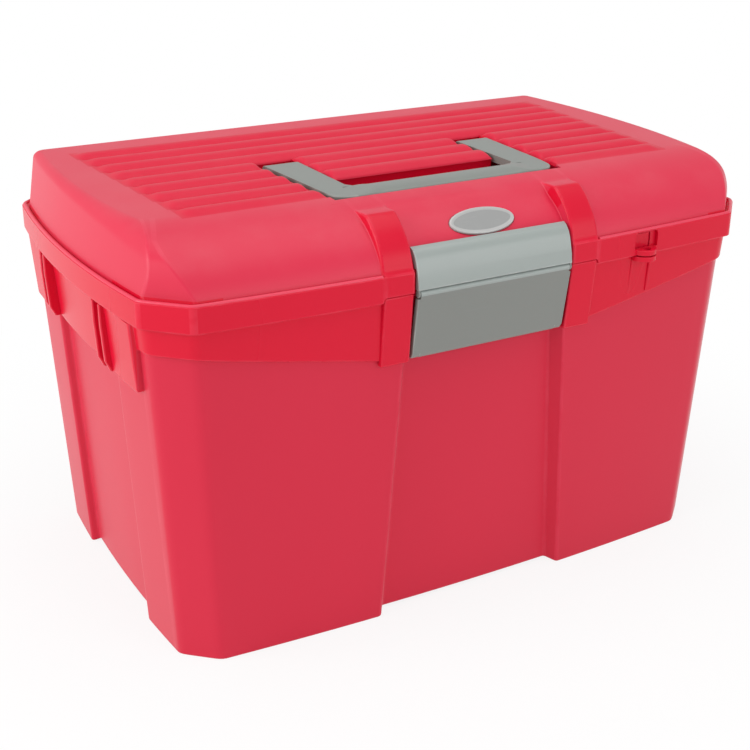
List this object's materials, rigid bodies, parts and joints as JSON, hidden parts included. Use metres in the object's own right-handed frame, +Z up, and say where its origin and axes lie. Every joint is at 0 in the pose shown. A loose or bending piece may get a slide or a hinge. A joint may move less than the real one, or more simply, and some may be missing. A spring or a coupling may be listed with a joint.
{
  "type": "tack box",
  "caption": "Grooming tack box: tapered tub, hinged ribbed lid, fold-flat carry handle, front latch and lift-out tray.",
  "frame": {"origin": "middle of the base on the floor", "axes": "+X along the length to the right as seen from the front, +Y to the back where the hinges are, +Z up"},
  "size_m": [0.3994, 0.2622, 0.2442],
  "materials": {
    "red_plastic": "satin",
    "grey_plastic": "satin",
    "pale_grey_plastic": "satin",
    "steel_pin": "brushed"
  },
  "bodies": {
    "tub": {"tub": "red_plastic", "hinge_pin_left": "steel_pin", "hinge_pin_right": "steel_pin"},
    "lid": {"lid": "red_plastic", "latch_cover": "pale_grey_plastic", "latch_pin": "steel_pin", "badge": "pale_grey_plastic"},
    "flap": {"latch_flap": "grey_plastic"},
    "handle": {"handle": "grey_plastic"},
    "tray": {"tray": "red_plastic"}
  },
  "joints": [
    {"name": "lid_hinge", "type": "hinge", "parent": "tub", "child": "lid", "pos_m": [0, 0.1291, 0.1995], "axis": [-1, 0, 0], "range_deg": [0, 105]},
    {"name": "latch_swing", "type": "hinge", "parent": "lid", "child": "flap", "pos_m": [0, -0.1252, 0.1993], "axis": [-1, 0, 0], "range_deg": [0, 110]},
    {"name": "handle_fold", "type": "hinge", "parent": "lid", "child": "handle", "pos_m": [0, 0.001, 0.2386], "axis": [-1, 0, 0], "range_deg": [0, 90]},
    {"name": "tray_lift", "type": "slide", "parent": "tub", "child": "tray", "axis": [0, 0, 1], "range_m": [0, 0.09]}
  ],
  "couplings": [
    {"joint": "tray_lift", "follows": "lid_hinge", "m_per_rad": 0.049}
  ]
}
